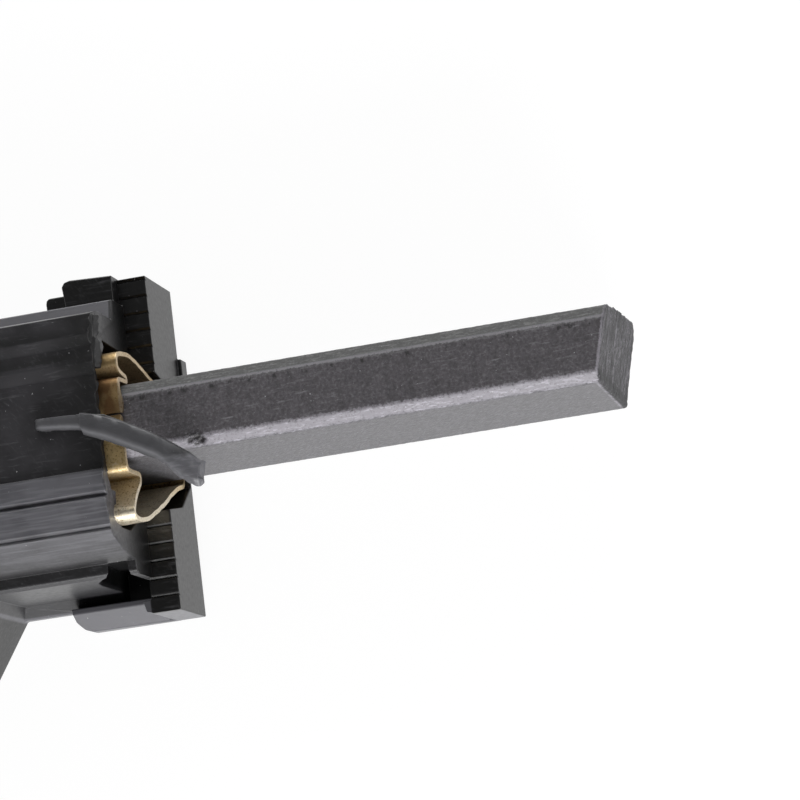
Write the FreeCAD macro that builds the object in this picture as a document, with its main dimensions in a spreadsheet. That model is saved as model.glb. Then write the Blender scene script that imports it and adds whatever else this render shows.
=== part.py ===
"""Carbon brush in its moulded holder, in millimetres.

X runs out along the brush, Y across its narrow side and Z up from the holder's flat back.
The origin is on the brush's centre line, in the plane of the flange's front face.
The brush slides along X in a folded brass sleeve, pushed out by a coil spring.
"""

import FreeCAD, Part
import math
import os

import Sketcher

# Driving sizes: name, value, what it is
SIZES = [
    ("brush_high", 5.0, "narrow side of the brush, along Y"),
    ("brush_wide", 12.5, "wide side of the brush, along Z"),
    ("brush_length", 40.0, "length of the brush at mid height"),
    ("brush_reach", 31.6, "how far the brush stands out of the flange"),
    ("tip_rake", 1.25, "how much longer the brush is at its top edge"),
    ("chamfer_upper", 0.9, "chamfer on the upper front edge of the brush"),
    ("chamfer_lower", 0.65, "chamfer on the lower front edge of the brush"),
    ("chamfer_back", 0.7, "chamfer on the brush's two edges on the far side"),
    ("lip_high", 0.7, "height of the worn lip over the contact face's upper edge"),
    ("lip_long", 1.5, "length of that lip along the brush"),
    ("lead_hole_deep", 5.0, "depth of the hole that the lead is tamped into"),
    ("slide_gap", 0.1, "clearance between brush and sleeve on each side"),
    ("sheet", 0.3, "thickness of the brass sheet"),
    ("sleeve_front", 0.35, "how far the sleeve's mouth lies behind the flange face"),
    ("seam_height", 0.45, "height of the sleeve's butt seam above the axis"),
    ("seam_gap", 0.15, "opening of the butt seam"),
    ("seat_gap", 0.05, "clearance between the sleeve and the moulding"),
    ("bulge_upper", 4.7, "height of the sleeve's upper bulge at mid sheet"),
    ("bulge_lower", 6.45, "depth of the sleeve's lower bulge at mid sheet"),
    ("body_front", 1.75, "how far the moulding's front lies behind the flange face"),
    ("body_length", 44.25, "length of the moulding's main body"),
    ("rear_wall", 2.0, "thickness of the moulding's rear wall"),
    ("near_wall", 1.2, "wall between the sleeve's seat and the ribbed face"),
    ("far_wall", 1.3, "wall between the sleeve's seat and the flat back"),
    ("rib_step", 0.3, "height of one step between the ribs"),
    ("rib_bevel", 0.8, "width of the bevel below a rib"),
    ("front_bevel", 0.45, "how far the near wall's front slants out towards the sleeve"),
    ("front_notch", 2.75, "Y where that slant ends in a notch"),
    ("top_edge", 7.1, "Y of the ribbed face's upper edge"),
    ("rib_first", 5.8, "Y where the first rib ends"),
    ("rib_second", 3.95, "Y where the second rib ends"),
    ("panel_low", 3.2, "depth of the plain panel's lower edge"),
    ("groove_low", 4.65, "depth of the long groove's upper edge"),
    ("slit_low", 6.85, "depth of the thin slit's upper edge"),
    ("body_top", 7.8, "height of the front shoulder"),
    ("shoulder_top", 9.3, "height of the rear shoulder"),
    ("belly_low", 8.7, "depth of the belly's front part"),
    ("under_low", 9.6, "depth of the underside"),
    ("rail_low", 10.4, "depth of the rail along the back"),
    ("flange_thick", 2.0, "thickness of the flange along X"),
    ("flange_top", 11.15, "height of the flange"),
    ("flange_low", 12.0, "depth of the flange"),
    ("flange_near", 1.0, "how far the flange's near face lies below the axis"),
    ("flange_inset", 1.0, "how far the flange's far edge lies in front of the flat back"),
    ("nib_reach", 0.3, "how far the nib on the back stands out of the flange"),
    ("tooth_pitch", 1.18, "pitch of the steps on the flange's near face"),
    ("tooth_deep", 0.15, "depth of those steps"),
    ("upper_lug_long", 3.5, "length of the lug behind the flange's upper end"),
    ("lower_lug_long", 7.2, "length of the lug behind the flange's lower end"),
    ("lower_lug_thick", 2.4, "thickness of that lug along Z"),
    ("recess_deep", 1.6, "depth of the round-ended recess in the underside"),
    ("recess_floor", 0.45, "web left below that recess at the flat back"),
    ("leg_thick", 3.0, "thickness of the diagonal leg"),
    ("leg_wide", 10.0, "width of the leg along Z"),
    ("ear_radius", 4.6, "radius of the ear around the screw hole"),
    ("ear_thick", 3.5, "thickness of the ear along Z"),
    ("screw_hole", 4.3, "diameter of the ear's screw hole"),
    ("screw_back", 24.5, "how far back the screw hole lies"),
    ("screw_low", 16.0, "how far below the axis the screw hole lies"),
    ("tab_wide", 6.3, "width of the terminal tab"),
    ("tab_thick", 0.8, "thickness of the terminal sheet"),
    ("tab_reach", 8.0, "length of the tab outside the rear wall"),
    ("tab_hole", 1.6, "diameter of the tab's latch hole"),
    ("tab_gap", 0.1, "clearance around the tab in its slot"),
    ("wire", 0.4, "wire diameter of the spring"),
    ("coil_wide", 4.5, "outer diameter of the spring"),
    ("coil_turns", 11.0, "turns of the spring"),
    ("end_gap", 0.02, "running clearance at the spring's and lead's ends"),
    ("lead_wide", 1.2, "diameter of the braided lead"),
]

document = FreeCAD.newDocument("carbon_brush_holder")
sheet = document.addObject("Spreadsheet::Sheet", "sizes")


class Size:
    """A length with its number and its formula in the sheet, so that sums keep both."""

    def __init__(self, number, formula):
        self.number = number
        self.formula = formula

    def __add__(self, other):
        other = as_size(other)
        return Size(self.number + other.number, f"({self.formula} + {other.formula})")

    def __sub__(self, other):
        other = as_size(other)
        return Size(self.number - other.number, f"({self.formula} - {other.formula})")

    def __radd__(self, other):
        return as_size(other) + self

    def __rsub__(self, other):
        return as_size(other) - self

    def __mul__(self, other):
        other = as_size(other)
        return Size(self.number * other.number, f"({self.formula} * {other.formula})")

    def __truediv__(self, other):
        other = as_size(other)
        return Size(self.number / other.number, f"({self.formula} / {other.formula})")

    def __neg__(self):
        return Size(-self.number, f"(0 - {self.formula})")


def as_size(value):
    return value if isinstance(value, Size) else Size(float(value), f"{float(value):.6f}")


def fill_sheet():
    """Write the driving sizes into the sheet and hand them back by name."""
    named = {}
    for row, (name, number, meaning) in enumerate(SIZES, start=1):
        sheet.set(f"A{row}", name)
        sheet.set(f"B{row}", str(number))
        sheet.set(f"C{row}", meaning)
        sheet.setAlias(f"B{row}", name)
        named[name] = Size(number, f"sizes.{name}")
    document.recompute()
    return named


S = fill_sheet()
S["seat_end"] = S["brush_wide"] / 2 + S["slide_gap"] + S["sheet"] + S["seat_gap"]
S["near_face"] = S["seat_end"] + S["near_wall"]
S["far_face"] = S["seat_end"] + S["far_wall"]
S["flange_far"] = S["far_face"] - S["flange_inset"]


def new_body(name):
    body = document.addObject("PartDesign::Body", name)
    body.Label = name
    return body


def origin_feature(body, role):
    return next(f for f in body.Origin.OriginFeatures if f.Role == role)


def new_sketch(body, name, plane, offset):
    """A sketch on one of the body's own planes, moved along the plane's normal."""
    sketch = body.newObject("Sketcher::SketchObject", name)
    sketch.AttachmentSupport = [(origin_feature(body, plane), "")]
    sketch.MapMode = "FlatFace"
    offset = as_size(offset)
    sketch.AttachmentOffset = FreeCAD.Placement(FreeCAD.Vector(0, 0, offset.number), FreeCAD.Rotation())
    sketch.setExpression(".AttachmentOffset.Base.z", offset.formula)
    return sketch


def bind(sketch, kind, where, size):
    index = sketch.addConstraint(Sketcher.Constraint(kind, *where, size.number))
    sketch.setExpression(f"Constraints[{index}]", size.formula)


def outline(body, name, plane, offset, corners):
    """A closed outline of straight lines, with each corner tied to the sheet."""
    sketch = new_sketch(body, name, plane, offset)
    corners = [(as_size(a), as_size(b)) for a, b in corners]
    points = [FreeCAD.Vector(a.number, b.number, 0) for a, b in corners]
    last = len(points) - 1
    for i in range(last + 1):
        following = 0 if i == last else i + 1
        sketch.addGeometry(Part.LineSegment(points[i], points[following]), False)
    for i in range(last + 1):
        following = 0 if i == last else i + 1
        sketch.addConstraint(Sketcher.Constraint("Coincident", i, 2, following, 1))
    for i, (across, up) in enumerate(corners):
        bind(sketch, "DistanceX", (i, 1), across)
        bind(sketch, "DistanceY", (i, 1), up)
    return sketch


def circle(body, name, plane, offset, centre, diameter):
    """A circle with its centre and diameter tied to the sheet."""
    sketch = new_sketch(body, name, plane, offset)
    across, up = as_size(centre[0]), as_size(centre[1])
    middle = FreeCAD.Vector(across.number, up.number, 0)
    sketch.addGeometry(Part.Circle(middle, FreeCAD.Vector(0, 0, 1), diameter.number / 2), False)
    bind(sketch, "DistanceX", (0, 3), across)
    bind(sketch, "DistanceY", (0, 3), up)
    bind(sketch, "Diameter", (0,), diameter)
    return sketch


def pad(body, name, sketch, length, back=True):
    """Material from the sketch, by default against the plane's normal."""
    feature = body.newObject("PartDesign::Pad", name)
    feature.Profile = sketch
    feature.Reversed = back
    feature.Length = length.number
    feature.setExpression("Length", length.formula)
    document.recompute()
    return feature


def pocket(body, name, sketch, length, back=True):
    """A cut from the sketch, by default against the plane's normal, that has to remove something."""
    before = body.Shape.Volume
    feature = body.newObject("PartDesign::Pocket", name)
    feature.Profile = sketch
    feature.Reversed = not back
    feature.Length = length.number
    feature.setExpression("Length", length.formula)
    document.recompute()
    if not body.Shape.Volume < before:
        raise ValueError(f"{name} cuts nothing")
    return feature


def edges_where(feature, test):
    """Names of the feature's straight edges whose two ends both pass the test."""
    found = []
    for number, edge in enumerate(feature.Shape.Edges, start=1):
        ends = [vertex.Point for vertex in edge.Vertexes]
        if len(ends) == 2 and isinstance(edge.Curve, Part.Line) and all(test(end) for end in ends):
            found.append(f"Edge{number}")
    return found


def dress(body, kind, name, base, edges, size):
    """A chamfer or fillet of the base's named edges."""
    feature = body.newObject(f"PartDesign::{kind}", name)
    feature.Base = (base, edges)
    bound = "Radius" if kind == "Fillet" else "Size"
    setattr(feature, bound, size.number)
    feature.setExpression(bound, size.formula)
    document.recompute()
    return feature


def near(a, b):
    return abs(a - b) < 0.01


# The brush: a pressed carbon block with ground chamfers and a raked contact face
def make_brush():
    body = new_body("carbon_brush")
    half = S["brush_high"] / 2
    half_rake = S["tip_rake"] / 2
    rear = S["brush_reach"] - S["brush_length"]
    side = outline(
        body, "brush_side", "XY_Plane", S["brush_wide"] / 2,
        [
            (rear, -half),
            (S["brush_reach"] - half_rake + 0.22, -half),
            (S["brush_reach"] - half_rake + 0.2, 0.8 - half),
            (S["brush_reach"] + half_rake, half),
            (rear, half),
        ],
    )
    block = pad(body, "brush_block", side, S["brush_wide"])
    y, z = half.number, S["brush_wide"].number / 2
    upper = edges_where(block, lambda p: near(p.y, y) and near(p.z, z))
    first = dress(body, "Chamfer", "upper_chamfer", block, upper, S["chamfer_upper"])
    lower = edges_where(first, lambda p: near(p.y, -y) and near(p.z, z))
    second = dress(body, "Chamfer", "lower_chamfer", first, lower, S["chamfer_lower"])
    far = edges_where(second, lambda p: near(p.z, -z) and near(abs(p.y), y))
    along = [e for e in far if near(second.Shape.getElement(e).BoundBox.YLength, 0)]
    dress(body, "Chamfer", "back_chamfers", second, along, S["chamfer_back"])
    add_lip(body)
    mouth = circle(body, "lead_hole_rim", "YZ_Plane", rear, (0, 0), S["lead_wide"] + S["slide_gap"])
    pocket(body, "lead_hole", mouth, S["lead_hole_deep"], back=False)
    return body


def add_lip(body):
    """The lip that wear has drawn over the contact face's upper edge, higher at the back."""
    top, end = S["brush_high"] / 2, S["brush_wide"] / 2
    slope = S["tip_rake"] / S["brush_high"]
    # Z of each section and the height of the lip there
    stations = [
        (end - 1.0, S["lip_high"] * 0.05),
        (end - 5.2, S["lip_high"] * 0.5),
        (end - 9.2, S["lip_high"] * 0.8),
        (S["chamfer_upper"] - end, S["lip_high"]),
        (-end, S["lip_high"] - S["chamfer_upper"]),
    ]
    sections = []
    for number, (z, rise) in enumerate(stations):
        low, high = top - 0.5, top + rise
        tip = S["brush_reach"] + high * slope
        sections.append(
            outline(
                body, f"lip_section_{number}", "XY_Plane", z,
                [
                    (S["brush_reach"] + top * slope - S["lip_long"], low),
                    (S["brush_reach"] + low * slope, low),
                    (tip, high),
                    (tip - 0.15, high),
                ],
            )
        )
    lip = body.newObject("PartDesign::AdditiveLoft", "lip")
    lip.Profile = sections[0]
    lip.Sections = sections[1:]
    lip.Ruled = True
    document.recompute()


# The sleeve: brass strip folded round the brush, with a bulge above and below and a butt seam
def sleeve_path():
    """Corners of the sheet's middle line, each with its bend radius, from the seam round to the seam."""
    side = (S["brush_high"] / 2 + S["slide_gap"] + S["sheet"] / 2).number
    end = (S["brush_wide"] / 2 + S["slide_gap"] + S["sheet"] / 2).number
    upper = S["bulge_upper"].number
    lower = S["bulge_lower"].number
    seam = S["seam_height"].number
    gap = S["seam_gap"].number
    fold, tight, bend, round_bend, wide = 0.18, 0.3, 0.5, 0.7, 1.6
    return [
        (seam, end, 0),
        (side, end, tight),
        (side, end - 1.95, fold),
        (side + 0.36, end - 1.95, fold),
        (side + 0.85, end, bend * 0.9),
        (upper - 0.25, end - 0.55, bend * 1.5),
        (upper + 0.15, end - 3.2, wide * 2),
        (side, 0.7 - end, wide),
        (side, -end, tight),
        (-side, -end, tight),
        (-side - 0.3, 2.6 - end, wide),
        (0.1 - lower, end - 4.05, wide),
        (0.25 - lower, end - 0.75, round_bend),
        (-side - 0.65, end - 3.05, tight),
        (-side - 0.65, end, bend),
        (seam - gap, end, 0),
    ]


def rounded_path(corners, shift):
    """Lines and arcs that follow the corners at a distance to their left."""
    vectors = [FreeCAD.Vector(a, b, 0) for a, b, _ in corners]
    start = None
    curves = []
    for i, here in enumerate(vectors):
        ahead = (vectors[i + 1] - here).normalize() if i + 1 < len(vectors) else None
        behind = (here - vectors[i - 1]).normalize() if i else None
        if ahead is None or behind is None:
            along = ahead or behind
            end = here + FreeCAD.Vector(-along.y, along.x, 0) * shift
            if start is not None:
                curves.append(Part.LineSegment(start, end))
            start = end
            continue
        turn = math.atan2(behind.x * ahead.y - behind.y * ahead.x, behind.dot(ahead))
        left = math.copysign(1.0, turn)
        radius = corners[i][2]
        cut = radius * math.tan(abs(turn) / 2)
        entry = here - behind * cut
        centre = entry + FreeCAD.Vector(-behind.y, behind.x, 0) * (radius * left)
        shifted = radius - shift * left
        first = entry + FreeCAD.Vector(-behind.y, behind.x, 0) * shift
        last = here + ahead * cut + FreeCAD.Vector(-ahead.y, ahead.x, 0) * shift
        middle = centre + (here - centre).normalize() * shifted
        curves.append(Part.LineSegment(start, first))
        curves.append(Part.Arc(first, middle, last))
        start = last
    return curves


def make_sleeve():
    body = new_body("brass_sleeve")
    sketch = new_sketch(body, "sleeve_section", "YZ_Plane", -S["sleeve_front"])
    half = S["sheet"].number / 2
    outer = rounded_path(sleeve_path(), half)
    inner = rounded_path(sleeve_path(), -half)
    joins = [
        Part.LineSegment(outer[0].StartPoint, inner[0].StartPoint),
        Part.LineSegment(outer[-1].EndPoint, inner[-1].EndPoint),
    ]
    sketch.addGeometry(outer + inner + joins, False)
    rear = S["body_front"] + S["body_length"] - S["rear_wall"] - S["tab_thick"] - S["seat_gap"] * 2
    pad(body, "sleeve_sheet", sketch, rear - S["sleeve_front"])
    return body


# The moulding: one piece with its ribs, flange, lugs, leg, foot and retaining tongue
def main_section():
    """Corners of the body across the axis, from the ribbed face's upper edge round by its underside."""
    near_face, step, bevel = S["near_face"], S["rib_step"], S["rib_bevel"]
    groove, slit = S["groove_low"], S["slit_low"]
    return [
        (S["top_edge"], near_face),
        (S["rib_first"], near_face),
        (S["rib_first"] - bevel, near_face - step),
        (S["rib_second"], near_face - step),
        (S["rib_second"] - bevel, near_face - step * 2),
        (-S["panel_low"], near_face - step * 2),
        (-S["panel_low"], near_face - step),
        (-groove, near_face - step * 1.3),
        (-groove - 0.2, near_face - step * 2.6),
        (-groove - 0.45, near_face - step * 1.4),
        (-slit, near_face - step * 2.6),
        (-slit - 0.12, near_face - step * 3.4),
        (-slit - 0.35, near_face - step * 2.9),
        (-slit - 0.65, near_face - step * 5.6),
        (-S["belly_low"] + 0.4, near_face - step * 11),
        (-S["belly_low"], near_face - step * 18.5),
        (0.2 - S["under_low"], near_face - step * 19),
        (-S["under_low"], near_face - step * 20),
        (-S["under_low"], 0.8 - S["far_face"]),
        (-S["rail_low"], 0.8 - S["far_face"]),
        (-S["rail_low"], -S["far_face"]),
        (S["shoulder_top"], -S["far_face"]),
        (S["shoulder_top"], near_face - 6.4),
        (S["body_top"], near_face - 6.0),
        (S["body_top"], near_face - 2.7),
    ]


def sleeve_seat():
    """Corners of the hole that the sleeve is pressed into."""
    side = S["brush_high"] / 2 + S["slide_gap"] + S["sheet"] + S["seat_gap"]
    end = S["seat_end"]
    upper = S["bulge_upper"] + S["sheet"] / 2 + S["seat_gap"]
    lower = S["bulge_lower"] + S["sheet"] / 2 + S["seat_gap"]
    return [
        (upper - 0.35, end),
        (upper + 0.1, end - 0.7),
        (upper + 0.15, end - 2.0),
        (upper + 0.95, end - 2.1),
        (upper + 0.8, end - 5.7),
        (upper - 0.3, end - 6.7),
        (side + 0.1, 0.4 - end),
        (side, -end),
        (-side, -end),
        (-side - 1.0, 3.0 - end),
        (-lower - 0.1, end - 4.1),
        (-lower - 0.1, end - 2.2),
        (0.6 - lower, end - 1.3),
        (1.7 - lower, end - 1.2),
        (-side - 0.75, end),
    ]


def make_housing():
    body = new_body("housing")
    far = S["far_face"]
    section = outline(body, "body_section", "YZ_Plane", -S["body_front"], main_section())
    pad(body, "main_body", section, S["body_length"])
    flange = outline(
        body, "flange_section", "YZ_Plane", 0,
        [
            (S["flange_top"], -S["flange_near"]),
            (-S["flange_low"], -S["flange_near"]),
            (-S["flange_low"], -S["flange_far"]),
            (S["flange_top"], -S["flange_far"]),
        ],
    )
    pad(body, "flange", flange, S["flange_thick"])
    add_lugs(body)
    add_leg(body)
    nib = outline(
        body, "nib_section", "YZ_Plane", S["nib_reach"],
        [(6.2, 0.3 - S["flange_far"]), (-2.4, 0.3 - S["flange_far"]), (-2.4, -far), (6.2, -far)],
    )
    pad(body, "back_nib", nib, S["flange_thick"] + S["nib_reach"])
    add_front_bevel(body)
    seat = outline(body, "seat_section", "YZ_Plane", S["flange_thick"], sleeve_seat())
    deep = S["flange_thick"] + S["body_front"] + S["body_length"] - S["rear_wall"]
    pocket(body, "sleeve_seat", seat, deep)
    cut_slots(body)
    add_teeth(body)
    add_tongue(body)
    return body


def add_front_bevel(body):
    """The slanting front of the near wall, which runs out towards the sleeve."""
    front = -S["body_front"]
    wedge = outline(
        body, "front_bevel_side", "XZ_Plane", -S["top_edge"],
        [
            (front - 0.1, S["near_face"] - S["rib_step"] * 2),
            (front, S["near_face"] - S["rib_step"] * 2),
            (front + S["front_bevel"], S["seat_end"] + 0.1),
            (front + S["front_bevel"], S["seat_end"] - 0.6),
            (front - 0.1, S["seat_end"] - 0.6),
        ],
    )
    pad(body, "front_bevel", wedge, S["top_edge"] - S["front_notch"], back=False)


def add_lugs(body):
    """The blocks behind the flange's two ends, and the small step behind the upper one."""
    back = -S["flange_thick"]
    upper = outline(
        body, "upper_lug_side", "XY_Plane", 1.3 - S["flange_near"],
        [
            (back, S["flange_top"] + 0.1),
            (back - S["upper_lug_long"] + 0.5, S["flange_top"] + 0.25),
            (back - S["upper_lug_long"] + 0.1, S["flange_top"] + 0.15),
            (back - S["upper_lug_long"] - 0.1, S["flange_top"] - 0.15),
            (back - S["upper_lug_long"] + 0.15, S["shoulder_top"] - 0.5),
            (back, S["shoulder_top"] - 0.5),
        ],
    )
    pad(body, "upper_lug", upper, S["flange_far"] - S["flange_near"] + 1.3)
    knob = outline(
        body, "knob_side", "XY_Plane", -S["flange_near"],
        [
            (back, S["flange_top"] - 0.45),
            (back - S["upper_lug_long"] - 1.5, S["flange_top"] - 0.45),
            (back - S["upper_lug_long"] - 1.7, S["flange_top"] - 0.6),
            (back - S["upper_lug_long"] - 1.75, S["flange_top"] - 0.85),
            (back - S["upper_lug_long"] - 1.7, S["shoulder_top"] - 0.5),
            (back, S["shoulder_top"] - 0.5),
        ],
    )
    pad(body, "knob", knob, S["flange_far"] - S["flange_near"])
    level = S["lower_lug_thick"] - S["far_face"]
    long = S["lower_lug_long"]
    lower = outline(
        body, "lower_lug_side", "XY_Plane", level,
        [
            (back, 0.1 - S["rail_low"]),
            (back, -S["flange_low"] + 0.1),
            (back - long + 1.0, -S["flange_low"] + 0.1),
            (back - long + 0.5, -S["flange_low"] + 0.3),
            (back - long + 0.1, -S["flange_low"] + 0.8),
            (back - long, 0.1 - S["rail_low"]),
        ],
    )
    plate = pad(body, "lower_lug", lower, S["lower_lug_thick"])
    height = level.number
    low = 0.1 - S["flange_low"].number
    front = edges_where(plate, lambda p: near(p.z, height) and near(p.y, low))
    dress(body, "Chamfer", "lower_lug_bevel", plate, front, S["lower_lug_thick"] / 2)
    toe = outline(
        body, "toe_side", "XY_Plane", -S["flange_near"],
        [
            (back + 0.1, 0.9 - S["flange_low"]),
            (back + 0.1, -S["flange_low"]),
            (back - 0.4, 0.15 - S["flange_low"]),
            (back - 0.6, 0.9 - S["flange_low"]),
        ],
    )
    pad(body, "flange_toe", toe, S["flange_far"] - S["flange_near"])


def add_leg(body):
    """The diagonal leg under the body, with a flat ear and a screw hole at its end."""
    slope = 0.67
    front = 12.6
    top = 0.1 - S["under_low"]
    sole = S["screw_low"] + S["ear_radius"]
    lean = (sole - S["under_low"]) * slope + front
    web = outline(
        body, "leg_side", "XY_Plane", S["leg_wide"] - S["far_face"],
        [
            (-front, top),
            (-lean, -sole),
            (-S["screw_back"], -sole),
            (-S["screw_back"] + 0.3, 0.9 - sole),
            (-lean - S["leg_thick"] * 0.75, 1.6 - sole),
            (-front - S["leg_thick"] * 1.2, top),
        ],
    )
    pad(body, "leg", web, S["leg_wide"])
    level = S["ear_thick"] - S["far_face"]
    plate = outline(
        body, "ear_side", "XY_Plane", level,
        [
            (-front, top),
            (-lean, -sole),
            (-S["screw_back"], -sole),
            (-S["screw_back"] - S["ear_radius"], -S["screw_low"]),
            (-S["screw_back"] - S["ear_radius"], top),
        ],
    )
    pad(body, "ear_plate", plate, S["ear_thick"])
    centre = (-S["screw_back"], -S["screw_low"])
    rim = circle(body, "ear_rim", "XY_Plane", level, centre, S["ear_radius"] * 2)
    pad(body, "ear_end", rim, S["ear_thick"])
    hole = circle(body, "screw_hole_rim", "XY_Plane", level, centre, S["screw_hole"])
    pocket(body, "screw_hole", hole, S["ear_thick"])


def cut_slots(body):
    """The round-ended recess in the underside and the terminal's way through the rear wall."""
    start = -S["flange_thick"] - 0.35
    floor = S["recess_floor"] - S["far_face"]
    mouth = S["rail_low"] - 0.1
    recess = outline(
        body, "recess_rim", "XZ_Plane", mouth,
        [
            (start, as_size(2.4)),
            (start - 1.3, as_size(2.4)),
            (start - 2.2, as_size(1.2)),
            (start - 2.9, as_size(-0.2)),
            (start - 3.15, as_size(-1.6)),
            (start - 3.15, floor),
            (start, floor),
        ],
    )
    pocket(body, "recess", recess, mouth - S["under_low"] + S["recess_deep"])
    gap = S["tab_gap"]
    low = S["brush_high"] / 2 + gap
    half = S["tab_wide"] / 2 + gap
    tab = outline(
        body, "tab_slot_section", "YZ_Plane", -(S["body_front"] + S["body_length"] - S["rear_wall"] - 0.5),
        [
            (-low, half),
            (S["tab_thick"] + gap * 2 - low, half),
            (S["tab_thick"] + gap * 2 - low, -half),
            (-low, -half),
        ],
    )
    pocket(body, "tab_slot", tab, S["rear_wall"] + 1.0)


def add_teeth(body):
    """The steps across the flange's near face, above and below the brush."""
    face = -S["flange_near"]
    for name, first, count in (("upper", 4.95, 6), ("lower", -11.0, 5)):
        tooth = outline(
            body, f"{name}_tooth_section", "YZ_Plane", 0.1,
            [
                (as_size(first), face + 0.01),
                (as_size(first), face - S["tooth_deep"]),
                (S["tooth_pitch"] * 0.2 + first, face + 0.01),
            ],
        )
        cut = pocket(body, f"{name}_tooth", tooth, S["flange_thick"] + 0.2)
        row = body.newObject("PartDesign::LinearPattern", f"{name}_teeth")
        row.Originals = [cut]
        row.Direction = (origin_feature(body, "Y_Axis"), [""])
        row.Length = S["tooth_pitch"].number * (count - 1)
        row.setExpression("Length", (S["tooth_pitch"] * (count - 1)).formula)
        row.Occurrences = count
        body.Tip = row
        document.recompute()


def add_tongue(body):
    """The thin retaining tongue that springs from the ribbed face and hangs over the brush."""
    panel = S["near_face"] - S["rib_step"] * 2
    # X, upper edge Y, lower edge Y, lift of the top above the panel, thickness
    stations = [
        (-5.95, 0.62, -0.05, 0.10, 0.35),
        (-5.6, 0.62, -0.10, 0.45, 0.55),
        (-2.75, 0.42, -0.55, 1.00, 0.65),
        (-2.55, 0.48, -0.75, 1.05, 0.75),
        (-1.0, 0.15, -1.60, 1.10, 0.80),
        (0.8, -0.80, -2.55, 1.05, 0.80),
        (2.3, -1.75, -3.40, 0.85, 0.80),
        (3.5, -2.80, -4.70, 0.55, 0.75),
        (4.5, -3.65, -5.35, 0.20, 0.70),
        (4.85, -4.10, -5.15, 0.10, 0.50),
    ]
    sections = []
    for number, (x, high, low, lift, thick) in enumerate(stations):
        top = panel + lift
        sections.append(
            outline(
                body, f"tongue_section_{number}", "YZ_Plane", x,
                [
                    (high, top - thick),
                    (high, top),
                    (low + 0.35 * (high - low), top),
                    (low, top - 0.6 * thick),
                    (low, top - thick),
                ],
            )
        )
    tongue = body.newObject("PartDesign::AdditiveLoft", "tongue")
    tongue.Profile = sections[0]
    tongue.Sections = sections[1:]
    tongue.Ruled = True
    document.recompute()


# The terminal: one bent brass blade, its plate behind the spring and its tab outside
def make_terminal():
    body = new_body("terminal_blade")
    face = S["body_front"] + S["body_length"] - S["rear_wall"] - S["seat_gap"]
    low = S["brush_high"] / 2
    side = outline(
        body, "blade_side", "XY_Plane", S["tab_wide"] / 2,
        [
            (-face + S["tab_thick"], low - 0.1),
            (-face, low - 0.1),
            (-face, S["tab_thick"] - low),
            (-face - S["rear_wall"] - S["tab_reach"], S["tab_thick"] - low),
            (-face - S["rear_wall"] - S["tab_reach"], -low),
            (-face + S["tab_thick"], -low),
        ],
    )
    blade = pad(body, "blade", side, S["tab_wide"])
    tip = -(face + S["rear_wall"] + S["tab_reach"]).number
    corners = []
    for number, edge in enumerate(blade.Shape.Edges, start=1):
        box = edge.BoundBox
        if near(box.XMin, tip) and near(box.XMax, tip) and near(box.ZLength, 0):
            corners.append(f"Edge{number}")
    dress(body, "Chamfer", "tip_corners", blade, corners, S["tab_thick"] * 1.25)
    wings = outline(
        body, "plate_face", "YZ_Plane", S["tab_thick"] - face,
        [
            (low - 0.1, S["brush_wide"] / 2 - 0.2),
            (0.9 - low, S["brush_wide"] / 2 - 0.2),
            (0.9 - low, 0.2 - S["brush_wide"] / 2),
            (low - 0.1, 0.2 - S["brush_wide"] / 2),
        ],
    )
    pad(body, "plate", wings, S["tab_thick"])
    back = face + S["rear_wall"] + S["tab_reach"] - S["tab_wide"] / 2
    hole = circle(body, "latch_hole_rim", "XZ_Plane", low, (-back, 0), S["tab_hole"])
    pocket(body, "latch_hole", hole, S["tab_thick"])
    return body


# The spring: a plain coil of wire, drawn eight-sided, between the terminal's plate and the brush
def spring_span():
    rear = S["body_front"] + S["body_length"] - S["rear_wall"] - S["seat_gap"] - S["tab_thick"]
    return rear, rear + S["brush_reach"] - S["brush_length"]


def make_spring():
    rear, room = spring_span()
    radius = (S["coil_wide"] - S["wire"]) / 2
    height = room - S["wire"] - S["end_gap"] * 2
    helix = document.addObject("Part::Helix", "spring_line")
    helix.Pitch = (height / S["coil_turns"]).number
    helix.Height = height.number
    helix.Radius = radius.number
    helix.setExpression("Pitch", (height / S["coil_turns"]).formula)
    helix.setExpression("Height", height.formula)
    helix.setExpression("Radius", radius.formula)
    section = document.addObject("Part::RegularPolygon", "wire_section")
    section.Polygon = 8
    section.Circumradius = (S["wire"] / 2).number
    section.setExpression("Circumradius", (S["wire"] / 2).formula)
    section.Placement = FreeCAD.Placement(
        FreeCAD.Vector(radius.number, 0, 0), FreeCAD.Rotation(FreeCAD.Vector(1, 0, 0), 90)
    )
    section.setExpression(".Placement.Base.x", radius.formula)
    document.recompute()
    spring = document.addObject("Part::Sweep", "pressure_spring")
    spring.Label = "pressure_spring"
    spring.Sections = [section]
    spring.Spine = (helix, ["Edge1"])
    spring.Solid = True
    spring.Frenet = True
    start = -rear + S["wire"] / 2 + S["end_gap"]
    spring.Placement = FreeCAD.Placement(
        FreeCAD.Vector(start.number, 0, 0), FreeCAD.Rotation(FreeCAD.Vector(0, 1, 0), 90)
    )
    spring.setExpression(".Placement.Base.x", start.formula)
    return spring


# The lead: braided copper from the terminal's plate through the spring into the brush
def make_lead():
    rear, room = spring_span()
    lead = document.addObject("Part::Cylinder", "shunt_lead")
    lead.Label = "shunt_lead"
    length = room + S["lead_hole_deep"] - S["end_gap"] * 2
    lead.Radius = (S["lead_wide"] / 2).number
    lead.Height = length.number
    lead.setExpression("Radius", (S["lead_wide"] / 2).formula)
    lead.setExpression("Height", length.formula)
    start = S["end_gap"] - rear
    lead.Placement = FreeCAD.Placement(
        FreeCAD.Vector(start.number, 0, 0), FreeCAD.Rotation(FreeCAD.Vector(0, 1, 0), 90)
    )
    lead.setExpression(".Placement.Base.x", start.formula)
    return lead


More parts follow.
